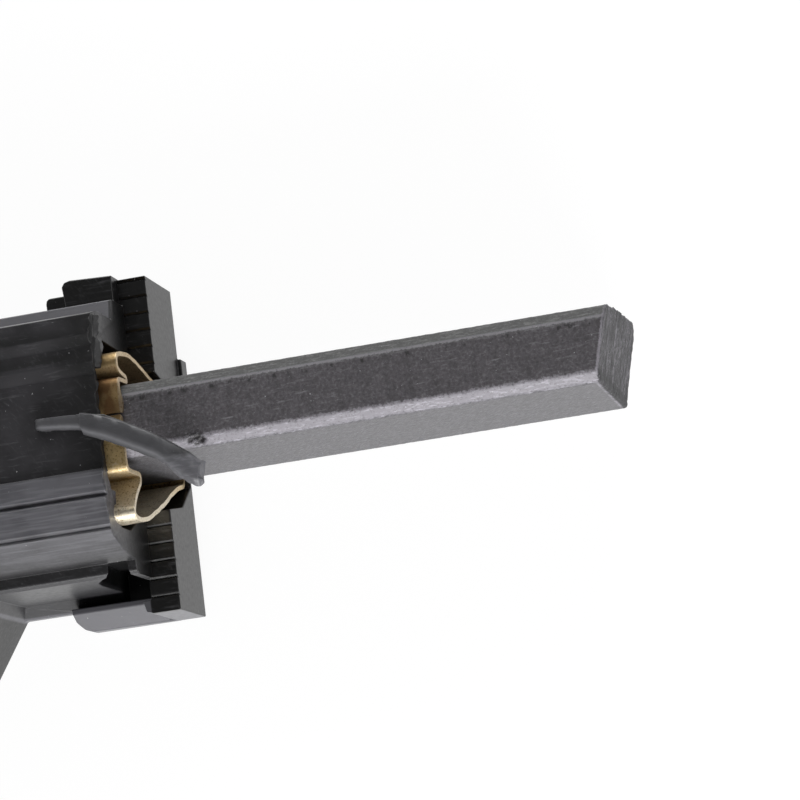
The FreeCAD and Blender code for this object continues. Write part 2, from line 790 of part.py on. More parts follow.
def write_parts(parts):
    """Check every object and every sub-part's solid, then write one file for each."""
    document.recompute()
    for item in document.Objects:
        if "Invalid" in item.State or "Error" in item.State:
            raise ValueError(f"{item.Name} failed: {item.State}")
    for part in parts:
        if part.Shape.isNull() or not part.Shape.isValid() or not part.Shape.Solids:
            raise ValueError(f"{part.Label} has no valid solid")
    os.makedirs("parts", exist_ok=True)
    for part in parts:
        part.Shape.exportStep(f"parts/{part.Label}.step")
        print(part.Label, len(part.Shape.Solids), round(part.Shape.Volume, 2))


write_parts([make_housing(), make_sleeve(), make_brush(), make_spring(), make_lead(), make_terminal()])
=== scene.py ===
import math

import bmesh
import bpy
from mathutils import Matrix, Vector, noise


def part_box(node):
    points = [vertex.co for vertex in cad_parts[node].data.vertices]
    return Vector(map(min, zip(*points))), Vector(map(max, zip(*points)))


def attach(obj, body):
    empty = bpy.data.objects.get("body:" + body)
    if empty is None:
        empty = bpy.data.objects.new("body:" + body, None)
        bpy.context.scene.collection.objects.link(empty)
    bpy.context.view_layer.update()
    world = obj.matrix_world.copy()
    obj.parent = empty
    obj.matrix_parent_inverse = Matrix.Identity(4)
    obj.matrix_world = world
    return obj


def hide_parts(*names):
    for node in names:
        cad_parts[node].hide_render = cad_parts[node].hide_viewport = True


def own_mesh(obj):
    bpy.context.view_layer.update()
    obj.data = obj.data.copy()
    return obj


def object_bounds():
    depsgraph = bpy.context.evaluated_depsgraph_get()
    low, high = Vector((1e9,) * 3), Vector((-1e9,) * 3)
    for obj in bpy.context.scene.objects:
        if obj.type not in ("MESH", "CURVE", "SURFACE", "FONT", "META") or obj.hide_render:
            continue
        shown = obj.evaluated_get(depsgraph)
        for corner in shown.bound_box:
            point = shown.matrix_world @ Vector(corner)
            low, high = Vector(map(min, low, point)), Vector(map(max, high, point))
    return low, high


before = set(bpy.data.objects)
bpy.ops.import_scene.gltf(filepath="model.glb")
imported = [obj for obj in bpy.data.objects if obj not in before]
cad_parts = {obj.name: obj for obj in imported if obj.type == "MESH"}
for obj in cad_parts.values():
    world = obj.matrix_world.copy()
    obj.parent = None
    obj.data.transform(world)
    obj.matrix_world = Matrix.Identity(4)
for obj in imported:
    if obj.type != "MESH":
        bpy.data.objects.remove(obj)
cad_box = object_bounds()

MM = 0.001

# The view: a long lens almost straight down on the holder as it lies on its flat back,
# turned so that the brush climbs to the right and the body leaves the picture on the left.
PHOTO_FOCAL_PX = 3022.13
PHOTO_WIDE_PX = 800
SENSOR_MM = 36.0
EYE_MM = Vector((56.93, -37.357, 193.28))
EYE_RIGHT = Vector((0.96708, -0.12164, -0.2235))
EYE_DOWN = Vector((-0.15811, -0.97545, -0.15326))
NEAREST_SEEN_M = 0.01
FARTHEST_SEEN_M = 20.0

camera = bpy.data.objects.new("camera", bpy.data.cameras.new("camera"))
bpy.context.scene.collection.objects.link(camera)
eye_axes = Matrix((EYE_RIGHT, -EYE_DOWN, EYE_DOWN.cross(EYE_RIGHT))).transposed()
camera.matrix_world = Matrix.Translation(EYE_MM * MM) @ eye_axes.to_4x4()
camera.data.sensor_width = SENSOR_MM
camera.data.lens = PHOTO_FOCAL_PX / PHOTO_WIDE_PX * SENSOR_MM
camera.data.clip_start = NEAREST_SEEN_M
camera.data.clip_end = FARTHEST_SEEN_M
bpy.context.scene.camera = camera
bpy.context.scene.view_settings.view_transform = "Standard"


# The table: a plain white sheet under the part. It looks white to the camera and in reflections,
# and is ordinary matte white to everything else, so the part's shadow stays on it.
FLOOR_HALF_M = 1.5
FLOOR_GAP_MM = 0.02
SHEET_WHITE = (0.9, 0.9, 0.9, 1)
SHEET_GLOW = 1.06
SHEET_GLOW_SHARE = 0.86
PLAIN_WHITE = (1, 1, 1, 1)


def new_material(name):
    """An empty node material and its tree."""
    material = bpy.data.materials.new(name)
    material.use_nodes = True
    material.node_tree.nodes.clear()
    return material, material.node_tree


def add(tree, kind, at=None, **settings):
    """A node with its settings, and with its inputs by name or number where given in 'at'."""
    node = tree.nodes.new(kind)
    for key, value in settings.items():
        setattr(node, key, value)
    for key, value in (at or {}).items():
        if isinstance(value, bpy.types.NodeSocket):
            tree.links.new(value, node.inputs[key])
        else:
            node.inputs[key].default_value = value
    return node


def math_of(tree, operation, *values):
    """The values taken together, one after the other, by one operation."""
    result = values[0]
    for value in values[1:]:
        result = add(tree, "ShaderNodeMath", {0: result, 1: value}, operation=operation).outputs[0]
    return result


floor_mesh = bpy.data.meshes.new("floor")
floor_z = cad_box[0].z - FLOOR_GAP_MM * MM
floor_corners = [(-1, -1), (1, -1), (1, 1), (-1, 1)]
floor_points = [(x * FLOOR_HALF_M, y * FLOOR_HALF_M, floor_z) for x, y in floor_corners]
floor_mesh.from_pydata(floor_points, [], [(0, 1, 2, 3)])
floor = bpy.data.objects.new("floor", floor_mesh)
bpy.context.scene.collection.objects.link(floor)
paper, tree = new_material("white_paper")
path = add(tree, "ShaderNodeLightPath").outputs
seen = math_of(tree, "MAXIMUM", path["Is Camera Ray"], path["Is Glossy Ray"])
glowing = math_of(tree, "MULTIPLY", seen, SHEET_GLOW_SHARE)
matte = add(tree, "ShaderNodeBsdfDiffuse", {"Color": SHEET_WHITE})
glow = add(tree, "ShaderNodeEmission", {"Color": PLAIN_WHITE, "Strength": SHEET_GLOW})
both = add(tree, "ShaderNodeMixShader", {0: glowing, 1: matte.outputs[0], 2: glow.outputs[0]})
add(tree, "ShaderNodeOutputMaterial", {"Surface": both.outputs[0]})
floor_mesh.materials.append(paper)


# The room: bright round the horizon and dim overhead, where the camera and its stand are.
# The camera itself sees plain white behind the table.
ROOM_AT_HORIZON = 0.76
ROOM_OVERHEAD = 0.13
HORIZON_UP_TO = 0.2
OVERHEAD_FROM = 0.8

world = bpy.data.worlds.new("room")
bpy.context.scene.world = world
world.use_nodes = True
tree = world.node_tree
tree.nodes.clear()
path = add(tree, "ShaderNodeLightPath").outputs
heading = add(tree, "ShaderNodeTexCoord").outputs["Generated"]
height = add(tree, "ShaderNodeSeparateXYZ", {0: heading}).outputs[2]
by_height = add(
    tree, "ShaderNodeMapRange",
    {0: height, 1: HORIZON_UP_TO, 2: OVERHEAD_FROM, 3: ROOM_AT_HORIZON, 4: ROOM_OVERHEAD},
)
strength = add(
    tree, "ShaderNodeMix", {0: path["Is Camera Ray"], 2: by_height.outputs[0], 3: 1.0}, data_type="FLOAT",
)
room = add(tree, "ShaderNodeBackground", {"Color": PLAIN_WHITE, "Strength": strength.outputs[0]})
add(tree, "ShaderNodeOutputWorld", {"Surface": room.outputs[0]})


# Three soft boxes near the table: the main one on the leg's side, which lights the faces that look
# down the picture, and two weaker ones behind the flange's upper end and in front of the brush's tip.
BOXES_AIM_MM = Vector((10, 0, 0))


def soft_box(name, at_mm, wide_m, watts):
    lamp = bpy.data.lights.new(name, "AREA")
    lamp.shape = "SQUARE"
    lamp.size = wide_m
    lamp.energy = watts
    box = bpy.data.objects.new(name, lamp)
    bpy.context.scene.collection.objects.link(box)
    box.location = Vector(at_mm) * MM
    aim = BOXES_AIM_MM * MM - box.location
    box.rotation_euler = aim.to_track_quat("-Z", "Y").to_euler()
    return box


lamps = [
    soft_box("main_box", (60, -430, 110), 0.35, 3.2),
    soft_box("back_box", (0, 430, 130), 0.35, 2.0),
    soft_box("side_box", (430, -80, 160), 0.3, 0.3),
]


# The housing: one black moulding of filled plastic, with ribs, flange, lugs, leg and ear. The front of its
# near wall is torn. Its recessed faces are glossier; painted shade darkens them and the ribs' lower ends, and
# painted light pales the faces turned towards the soft boxes.
PLASTIC_BLACK_AND_SHADE = (0.004, 0.004, 0.0042)
PLASTIC_OUTER_UNSHADED = (0.024, 0.023, 0.026)
PLASTIC_PAINTED_LIGHT = (0.085, 0.084, 0.094)
PLASTIC_STREAK = (0.15, 0.15, 0.162)
PLASTIC_SCRATCHED = (0.09, 0.09, 0.096)
PLASTIC_DUST = (0.32, 0.32, 0.33)
WELD_MM = 0.002
FLAT_DEGREES = 0.6
EDGE_ROUND_MM = 0.1
TOP_EDGE_ROUND_MM = 0.34
ROUND_SEGMENTS = 2
ROUNDED_FROM_DEGREES = 17
# A rounding takes at most this share of the shortest edge beside it
ROUND_ROOM = 0.4
# The edges that are worn rounder lie behind this X and past this Y and Z
WORN_EDGES_MM = Vector((-2.0, 3.0, 7.3))
# Y, Z of a corner of the section, and how far it moves in Y and Z, all in mm
WORN_CORNERS = [
    ((5.0, 7.75), (0.3, 0.0)), ((3.95, 7.75), (0.3, 0.0)), ((3.15, 7.45), (0.55, 0.0)),
    ((-4.65, 7.66), (0.1, -0.53)), ((-4.85, 7.27), (0.09, -0.48)), ((-5.1, 7.63), (0.03, -0.14)),
    ((-6.85, 7.27), (0.11, -0.58)), ((-6.97, 7.03), (0.11, -0.58)), ((-7.2, 7.18), (0.1, -0.48)),
    ((-7.5, 6.37), (0.04, -0.19)), ((-3.95, -3.7), (-0.7, -0.5)), ((-9.6, -7.2), (0.0, 1.1)),
]
CORNER_NEAR_MM = 0.03
# X of the near wall's front edge and the lowest Z of its faces, and where its notch is and moves along Y
FRONT_X_MM = (-1.9, -1.2)
FRONT_FACES_Z_MM = 5.0
NOTCH_Y_MM = 2.75
NOTCH_MOVE_MM = 0.82
# The cuts that give the torn front its points: one behind it and a row of them down its length
TEAR_BACK_X_MM = -2.35
TEAR_BEHIND_X_MM = -2.4
TEAR_TOP_Y_MM = 7.6
TEAR_STEP_MM = 0.21
TEAR_STEPS = 60
CUT_SNAP_MM = 0.0001
TEAR_FROM_X_MM = -1.95
TEAR_FROM_Z_MM = 5.6
# Y along the torn front of the near wall, and how far its outer edge stands out there, in mm
TORN_FRONT = [
    (8.0, 0.42), (7.18, 0.4), (6.67, 0.26), (6.0, 0.25), (5.85, 0.03), (5.6, 0.2), (4.66, 0.18),
    (2.65, 0.1), (0.67, -0.05), (-3.2, 0.0), (-9.0, 0.0),
]
TORN_EDGE_Z_MM = 7.2
TORN_WALL_SHARE = 0.3
TEAR_ROUGH_MM = 0.13
TEAR_LIFT_MM = 0.05
RAGGED_ABOVE_Y_MM = 5.2
RAGGED_TIMES = 1.9


def apply_modifiers(piece):
    """Make the piece with its modifiers into a plain mesh."""
    shape = piece.evaluated_get(bpy.context.evaluated_depsgraph_get())
    mesh = bpy.data.meshes.new_from_object(shape)
    mesh.name = piece.name
    piece.modifiers.clear()
    piece.data = mesh


def new_piece(name, mesh, material):
    mesh.name = name
    mesh.materials.clear()
    mesh.materials.append(material)
    piece = bpy.data.objects.new(name, mesh)
    bpy.context.scene.collection.objects.link(piece)
    return piece


def welded_shape(node):
    """A CAD node's loose triangles welded into plain faces."""
    shape = bmesh.new()
    shape.from_mesh(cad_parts[node].data)
    bmesh.ops.remove_doubles(shape, verts=shape.verts, dist=WELD_MM * MM)
    flat = math.radians(FLAT_DEGREES)
    bmesh.ops.dissolve_limit(shape, angle_limit=flat, verts=shape.verts, edges=shape.edges)
    return shape


def as_mesh(shape, sharp_degrees=25):
    """A mesh of the shape, smooth except across its sharp edges."""
    for face in shape.faces:
        face.smooth = True
    for edge in shape.edges:
        edge.smooth = edge.calc_face_angle(0) < math.radians(sharp_degrees)
    mesh = bpy.data.meshes.new("shape")
    shape.to_mesh(mesh)
    shape.free()
    return mesh


def weigh_edges(shape, widest_mm, wanted=None):
    """Give each sharp edge the rounding it has room for, as a share of the widest one."""
    layer = shape.edges.layers.float.new("bevel_weight_edge")
    for edge in shape.edges:
        if edge.calc_face_angle(0) < math.radians(ROUNDED_FROM_DEGREES):
            continue
        room = min(near.calc_length() for vertex in edge.verts for near in vertex.link_edges) / MM
        radius = wanted(edge) if wanted else widest_mm
        edge[layer] = min(radius, room * ROUND_ROOM) / widest_mm


def round_edges(piece, widest_mm):
    """Round the weighted edges, at most by the widest rounding."""
    bevel = piece.modifiers.new("rounded_edges", "BEVEL")
    bevel.width = widest_mm * MM
    bevel.segments = ROUND_SEGMENTS
    bevel.limit_method = "WEIGHT"
    bevel.use_clamp_overlap = False
    bevel.harden_normals = True
    apply_modifiers(piece)


def wanted_round(edge):
    """The upper edge of the ribbed face and the ribs are worn rounder than the rest."""
    middle = (edge.verts[0].co + edge.verts[1].co) / 2 / MM
    worn = middle.x < WORN_EDGES_MM.x and middle.y > WORN_EDGES_MM.y and middle.z > WORN_EDGES_MM.z
    return TOP_EDGE_ROUND_MM if worn else EDGE_ROUND_MM


def between(table, at):
    """The value at a place, from a falling table of places and values."""
    for (start, first), (end, second) in zip(table, table[1:]):
        if start >= at >= end:
            return first + (second - first) * (start - at) / (start - end)
    return 0.0


def move_worn_corners(shape):
    """Move the section's corners, and the notch in the near wall, to their worn places."""
    for vertex in shape.verts:
        x, y, z = vertex.co / MM
        for (corner_y, corner_z), (move_y, move_z) in WORN_CORNERS:
            if abs(y - corner_y) < CORNER_NEAR_MM and abs(z - corner_z) < CORNER_NEAR_MM:
                vertex.co += Vector((0, move_y, move_z)) * MM
        in_front = FRONT_X_MM[0] < x < FRONT_X_MM[1] and z > FRONT_FACES_Z_MM
        if in_front and abs(y - NOTCH_Y_MM) < CORNER_NEAR_MM:
            vertex.co.y += NOTCH_MOVE_MM * MM


def cut_front(shape, place, direction, behind_x):
    """Cut the near wall's front faces that start past an X, so that they have points to tear."""
    faces = []
    for face in shape.faces:
        ends = [vertex.co.x / MM for vertex in face.verts]
        heights = [vertex.co.z / MM for vertex in face.verts]
        in_front = FRONT_X_MM[0] < max(ends) < FRONT_X_MM[1] and min(ends) > behind_x
        if in_front and min(heights) > FRONT_FACES_Z_MM:
            faces.append(face)
    corners = list({vertex for face in faces for vertex in face.verts})
    sides = list({edge for face in faces for edge in face.edges})
    bmesh.ops.bisect_plane(
        shape, geom=corners + sides + faces, dist=CUT_SNAP_MM * MM, plane_co=place, plane_no=direction,
    )


def tear_front(shape):
    """Tear the front of the near wall: its outer edge by the table, with rough ends."""
    cut_front(shape, Vector((TEAR_BACK_X_MM * MM, 0, 0)), Vector((1, 0, 0)), -math.inf)
    for step in range(TEAR_STEPS):
        level = (TEAR_TOP_Y_MM - step * TEAR_STEP_MM) * MM
        cut_front(shape, Vector((0, level, 0)), Vector((0, 1, 0)), TEAR_BEHIND_X_MM)
    for vertex in shape.verts:
        x, y, z = vertex.co / MM
        if TEAR_FROM_X_MM < x < FRONT_X_MM[1] and z > TEAR_FROM_Z_MM:
            torn = between(TORN_FRONT, y) * (1.0 if z > TORN_EDGE_Z_MM else TORN_WALL_SHARE)
            rough = noise.noise(Vector((y * 2.1, z * 2.0, 4.0))) * TEAR_ROUGH_MM
            rough += noise.noise(Vector((y * 5.3, z, 9.0))) * TEAR_ROUGH_MM
            ragged = RAGGED_TIMES if y > RAGGED_ABOVE_Y_MM else 1.0
            vertex.co.x += (torn + rough * ragged) * MM
            vertex.co.z += noise.noise(Vector((y * 5.0, 2.0, z))) * TEAR_LIFT_MM * MM


def mask_group(name, title, value):
    """A shader node group that makes one mask from a place and one number."""
    tree = bpy.data.node_groups.new(name, "ShaderNodeTree")
    tree.interface.new_socket("Place", in_out="INPUT", socket_type="NodeSocketVector")
    tree.interface.new_socket(title, in_out="INPUT", socket_type="NodeSocketFloat").default_value = value
    tree.interface.new_socket("Mask", in_out="OUTPUT", socket_type="NodeSocketFloat")
    entry = tree.nodes.new("NodeGroupInput").outputs
    leave = tree.nodes.new("NodeGroupOutput").inputs
    return tree, entry["Place"], entry[title], leave["Mask"]


def millimetres(tree, stretch=(1, 1, 1), turn=(0, 0, 0)):
    """Object coordinates in millimetres, first turned and then stretched for a pattern."""
    place = add(tree, "ShaderNodeTexCoord").outputs["Object"]
    turned = add(tree, "ShaderNodeMapping", {0: place, 3: (1 / MM,) * 3, 2: turn}).outputs[0]
    return add(tree, "ShaderNodeMapping", {0: turned, 3: stretch}).outputs[0]


def axes_of(tree, place):
    return add(tree, "ShaderNodeSeparateXYZ", {0: place}).outputs


def grain_of(tree, place, scale, detail=2.0, rough=0.5):
    at = {0: place, "Scale": scale, "Detail": detail, "Roughness": rough}
    return add(tree, "ShaderNodeTexNoise", at).outputs[0]


def ramp(tree, value, span, start=0.0, end=1.0):
    """A mask that goes from its start to its end over a span of the value."""
    at = {0: value, 1: span[0], 2: span[1], 3: start, 4: end}
    return add(tree, "ShaderNodeMapRange", at).outputs[0]


def times(tree, *values):
    return math_of(tree, "MULTIPLY", *values)


def highest(tree, *values):
    return math_of(tree, "MAXIMUM", *values)


def total(tree, *values):
    return math_of(tree, "ADD", *values)


def scratches_group():
    """Thin scratches that run along X of the place, in patches, as a mask."""
    tree, place, amount, mask = mask_group("scratches", "Amount", 1.0)
    lines_at = add(tree, "ShaderNodeMapping", {0: place, 3: (0.35, 3.4, 3.4)}).outputs[0]
    lines = grain_of(tree, lines_at, 1.6, 5.0, 0.65)
    patches = grain_of(tree, place, 0.55, 3.0)
    scratched = times(tree, ramp(tree, lines, (0.55, 0.7)), ramp(tree, patches, (0.4, 0.62)), amount)
    tree.links.new(scratched, mask)
    return tree


def specks_group():
    """Small pale specks of dust and broken filler, as a mask."""
    tree, place, fewness, mask = mask_group("specks", "Fewness", 0.74)
    spots = grain_of(tree, place, 2.7, 2.0)
    tree.links.new(ramp(tree, spots, (fewness, total(tree, fewness, 0.04))), mask)
    return tree


scratches = scratches_group()
specks = specks_group()


def marks(tree, kind, place, amount):
    """A scratches or specks group placed in a material, with its amount."""
    return add(tree, "ShaderNodeGroup", {"Place": place, 1: amount}, node_tree=kind).outputs[0]


def coated(tree, base, *coats):
    """The base colour under coats of other colours, each laid on by its own mask."""
    for mask, colour in coats:
        mixer = add(tree, "ShaderNodeMix", {0: mask}, data_type="RGBA")
        for socket, given in ((mixer.inputs[6], base), (mixer.inputs[7], colour)):
            if isinstance(given, bpy.types.NodeSocket):
                tree.links.new(given, socket)
            else:
                socket.default_value = (*given, 1)
        base = mixer.outputs[2]
    return base


def surface(tree, colour, rough, relief, relief_strength, relief_mm, metallic=0.0):
    """The surface with its colour, its roughness and its fine relief."""
    bump = add(
        tree, "ShaderNodeBump",
        {"Strength": relief_strength, "Distance": relief_mm * MM, "Height": relief},
    )
    shader = add(
        tree, "ShaderNodeBsdfPrincipled",
        {"Base Color": colour, "Metallic": metallic, "Roughness": rough, "Normal": bump.outputs[0]},
    )
    add(tree, "ShaderNodeOutputMaterial", {"Surface": shader.outputs[0]})


# Along one axis each, where a mask of the moulding's painted light and painted shade starts and where it is
# full, in mm
OUTER_Z = (0.5, 5.5)
RIB_ONE_Y, RIB_ONE_FOOT_Y = (6.7, 6.0), (5.72, 5.8)
RIB_TWO_Y, RIB_TWO_FOOT_Y = (5.2, 4.5), (4.17, 4.25)
RIBBED_FACE_Z = (5.0, 7.0)
PANEL_FRONT_X = (-4.5, -2.4)
BANDS_Y, BANDS_Z = (-3.1, -3.4), (3.0, 6.0)
LOW_BANDS_Y = (-6.2, -7.6)
SLOPE_Y, SLOPE_Z = (7.1, 7.25), (4.0, 5.0)
SHOULDER_X, SHOULDER_Z = (-1.95, -2.05), (1.2, 1.5)
SHOULDER_Y, SHOULDER_END_Y = (7.75, 7.85), (9.4, 9.32)
LOW_EDGE_X, LOW_EDGE_Y = (-0.06, -0.12), (-9.2, -9.4)
BEHIND_LUG_X = (-10.9, -10.6)
RAIL_Y, LUG_UNDERSIDE_Y = (-10.6, -10.45), (-10.25, -10.35)
FLANGE_X, FLANGE_Z = (-2.1, -2.02), (-1.5, -1.35)
LUG_PAINTED_LIGHT = 1.3


def painted_light_places(tree, x, y, z, bands):
    """Painted light on the bands, the slope and shoulder above the ribs, the rail and the lug's underside."""
    slope = times(tree, ramp(tree, y, SLOPE_Y, 0.0, 0.35), ramp(tree, z, SLOPE_Z))
    shoulder = times(
        tree, ramp(tree, y, SHOULDER_Y), ramp(tree, y, SHOULDER_END_Y),
        ramp(tree, z, SHOULDER_Z, 0.0, 1.4), ramp(tree, x, SHOULDER_X),
    )
    rail_or_lug = highest(tree, ramp(tree, x, BEHIND_LUG_X), ramp(tree, y, RAIL_Y))
    rail_or_lug = times(tree, rail_or_lug, ramp(tree, y, LUG_UNDERSIDE_Y, 0.2, LUG_PAINTED_LIGHT))
    flange_face = times(tree, ramp(tree, x, FLANGE_X), ramp(tree, z, FLANGE_Z), LUG_PAINTED_LIGHT)
    rail_or_lug = math_of(tree, "SUBTRACT", rail_or_lug, flange_face)
    low_edge = times(tree, ramp(tree, y, LOW_EDGE_Y), rail_or_lug, ramp(tree, x, LOW_EDGE_X))
    return highest(tree, bands, slope, shoulder, low_edge)


def moulded_plastic(name, drawn_and_highlight_colour=None):
    """The black plastic. A pale attribute, where the piece has one, lays a painted highlight on its drawn
    edges and whitens its torn end.
    """
    material, tree = new_material(name)
    place = millimetres(tree)
    x, y, z = axes_of(tree, place)
    cloud = grain_of(tree, place, 0.45, 4.0)
    # Painted shade: faces low in Z, in the recesses, keep the black, and the outer faces are painted grey
    outer = times(tree, ramp(tree, z, OUTER_Z), ramp(tree, cloud, (0.3, 0.6), 0.45, 1.0))
    # Painted shade: each rib darkens towards its lower end, and the panel towards its torn front
    rib_one = times(tree, ramp(tree, y, RIB_ONE_Y), ramp(tree, y, RIB_ONE_FOOT_Y))
    rib_two = times(tree, ramp(tree, y, RIB_TWO_Y), ramp(tree, y, RIB_TWO_FOOT_Y))
    ribs = times(tree, highest(tree, rib_one, rib_two), 0.7)
    front = ramp(tree, x, PANEL_FRONT_X, 0.0, 0.8)
    shaded = times(tree, highest(tree, ribs, front), ramp(tree, z, RIBBED_FACE_Z))
    bands = times(
        tree, ramp(tree, y, BANDS_Y), ramp(tree, z, BANDS_Z), ramp(tree, y, LOW_BANDS_Y, 1.0, 0.5),
    )
    # Painted light: the faces turned to the soft boxes are painted pale grey, in patches
    painted_light = times(tree, painted_light_places(tree, x, y, z, bands), ramp(tree, cloud, (0.3, 0.55), 0.6, 1.0))
    base = coated(
        tree, PLASTIC_BLACK_AND_SHADE, (outer, PLASTIC_OUTER_UNSHADED), (shaded, PLASTIC_BLACK_AND_SHADE), (painted_light, PLASTIC_PAINTED_LIGHT),
        (marks(tree, scratches, place, 0.55), PLASTIC_SCRATCHED),
        (marks(tree, scratches, millimetres(tree, turn=(0.0, 0.5, 0.9)), 0.35), PLASTIC_SCRATCHED),
        (marks(tree, specks, millimetres(tree, (1.7, 1.7, 1.7)), 0.755), PLASTIC_DUST),
    )
    if drawn_and_highlight_colour:
        # Painted highlight on drawn edges, and whitening at the torn end, from the pale attribute
        pale_and_highlight = add(tree, "ShaderNodeAttribute", attribute_name="pale_and_highlight").outputs["Fac"]
        drawn_and_highlight = times(tree, pale_and_highlight, ramp(tree, cloud, (0.3, 0.5), 0.55, 1.0))
        base = coated(tree, base, (drawn_and_highlight, drawn_and_highlight_colour))
    fine = grain_of(tree, place, 3.2, 3.0, 0.55)
    streaks = grain_of(tree, millimetres(tree, (0.15, 2.2, 2.2)), 2.0, 3.0)
    pale_lines = times(tree, ramp(tree, streaks, (0.46, 0.66), 0.0, 0.6), bands)
    base = coated(tree, base, (pale_lines, PLASTIC_STREAK))
    rough = total(tree, ramp(tree, outer, (0.0, 1.0), 0.36, 0.45), ramp(tree, fine, (0.3, 0.7), -0.03, 0.05))
    surface(tree, base, rough, total(tree, times(tree, fine, 0.45), streaks), 0.22, 0.03)
    return material


housing_shape = welded_shape("housing")
move_worn_corners(housing_shape)
tear_front(housing_shape)
weigh_edges(housing_shape, TOP_EDGE_ROUND_MM, wanted_round)
black_moulding = moulded_plastic("black_moulding")
housing = new_piece("housing_moulding", as_mesh(housing_shape), black_moulding)
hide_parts("housing")
round_edges(housing, TOP_EDGE_ROUND_MM)
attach(housing, "holder")


# The retaining tongue: a thin tail of the same black shot, left hanging over the brush.
# It was bent out of the ribbed face and its end is torn; a painted highlight runs along its lower edge, and
# its torn end is pale.
PLASTIC_DRAWN_AND_HIGHLIGHT = (0.095, 0.095, 0.103)
PANEL_MM = 7.45
TONGUE_SEED = 3
# X, upper edge Y, lower edge Y, height over the ribbed face, thickness, in mm
TONGUE_STATIONS = [
    (-6.0, 0.66, 0.0, 0.08, 0.3), (-5.6, 0.66, -0.1, 0.48, 0.55), (-4.2, 0.55, -0.3, 0.76, 0.62),
    (-2.75, 0.42, -0.6, 1.02, 0.68), (-2.5, 0.46, -0.95, 1.12, 0.8), (-1.0, 0.02, -1.6, 1.15, 0.84),
    (0.8, -0.85, -2.55, 1.1, 0.84), (2.3, -1.72, -3.4, 0.9, 0.84), (3.1, -2.3, -4.3, 0.68, 0.84),
    (4.0, -2.95, -5.05, 0.38, 0.8), (4.5, -3.4, -5.3, 0.24, 0.75), (4.85, -3.85, -4.95, 0.18, 0.55),
]
STATION_STEPS = 9
# Across the tongue: share of the way from its lower to its upper edge and of its thickness, and how pale it
# is painted, which is a painted highlight along its edges
TONGUE_RING = [
    (1.0, 0.0, 0.1), (1.03, 0.5, 0.15), (0.99, 0.88, 0.3), (0.93, 1.0, 0.7), (0.7, 1.04, 0.5),
    (0.42, 1.02, 0.45), (0.28, 0.97, 0.7), (0.17, 0.86, 1.0), (0.05, 0.5, 0.5), (-0.02, 0.36, 0.3),
    (0.0, 0.0, 0.1), (0.5, -0.04, 0.1),
]
# Shares of the tongue's length from which its end is torn, and is pale all round
TORN_FROM = 0.93
PALE_FROM = 0.72
TORN_END_MM = 0.5
TONGUE_LUMPS_MM = 0.035
TONGUE_GRAIN_MM = 0.02


def smooth_through(rows, at):
    """A smooth value through rows of numbers at a fractional row."""
    index = min(int(at), len(rows) - 2)
    share = at - index
    picks = [rows[max(0, min(len(rows) - 1, index + shift))] for shift in (-1, 0, 1, 2)]
    result = []
    for before, start, end, after in zip(*picks):
        slope_a, slope_b = (end - before) / 2, (after - start) / 2
        cubic = 2 * start - 2 * end + slope_a + slope_b
        square = 3 * end - 3 * start - 2 * slope_a - slope_b
        result.append(((cubic * share + square) * share + slope_a) * share + start)
    return result


def add_tube(shape, rings):
    """A closed tube through rings of points, with both ends filled."""
    loops = [[shape.verts.new(point) for point in ring] for ring in rings]
    width = len(rings[0])
    for first, second in zip(loops, loops[1:]):
        for i in range(width):
            following = (i + 1) % width
            shape.faces.new((first[i], first[following], second[following], second[i]))
    shape.faces.new(loops[0][::-1])
    shape.faces.new(loops[-1])


def tongue_mesh():
    noise.seed_set(TONGUE_SEED)
    rings = []
    last = (len(TONGUE_STATIONS) - 1) * STATION_STEPS
    for number in range(last + 1):
        x, high, low, lift, thick = smooth_through(TONGUE_STATIONS, number / STATION_STEPS)
        torn = max(0.0, number / last - TORN_FROM) / (1 - TORN_FROM)
        ring = []
        for across, up, _ in TONGUE_RING:
            y = low + (high - low) * across
            z = PANEL_MM + lift - thick * (1 - up)
            place = Vector((x, y, z))
            rough = noise.noise_vector(place * 3.1) * TONGUE_LUMPS_MM
            rough += noise.noise_vector(place * 8.0) * TONGUE_GRAIN_MM
            rough.x += noise.noise(Vector((y * 3.0, z * 4.0, 1.0))) * TORN_END_MM * torn
            ring.append((place + rough) * MM)
        rings.append(ring)
    shape = bmesh.new()
    add_tube(shape, rings)
    bmesh.ops.recalc_face_normals(shape, faces=shape.faces)
    mesh = as_mesh(shape, 40)
    pale_and_highlight = mesh.attributes.new("pale_and_highlight", "FLOAT", "POINT")
    width = len(TONGUE_RING)
    for index, item in enumerate(pale_and_highlight.data):
        past = max(0.0, index // width / last - PALE_FROM)
        # Painted highlight along the edges, fading out towards the end, which is pale all round where it is
        # torn
        item.value = TONGUE_RING[index % width][2] * (1 - min(1.0, past * 12)) + min(0.3, past * 2)
    return mesh


highlit_drawn_moulding = moulded_plastic("highlit_drawn_moulding", PLASTIC_DRAWN_AND_HIGHLIGHT)
tongue = new_piece("retaining_tongue", tongue_mesh(), highlit_drawn_moulding)
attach(tongue, "holder")


# The sleeve: one strip of brass folded round the brush, with a bulge above and below, and pushed into
# the moulding. It is stained brown where it was heated and paler on the lower bulge. A painted highlight lies
# along its cut mouth, and painted light makes the insides of the bulges paler.
BRASS_BROWN = (0.19, 0.108, 0.05)
BRASS_GOLD = (0.62, 0.46, 0.23)
BRASS_PALE = (0.74, 0.67, 0.53)
BRASS_PIT = (0.2, 0.13, 0.06)
SHEET_MM = 0.3
CUT_EDGE_MM = 0.06
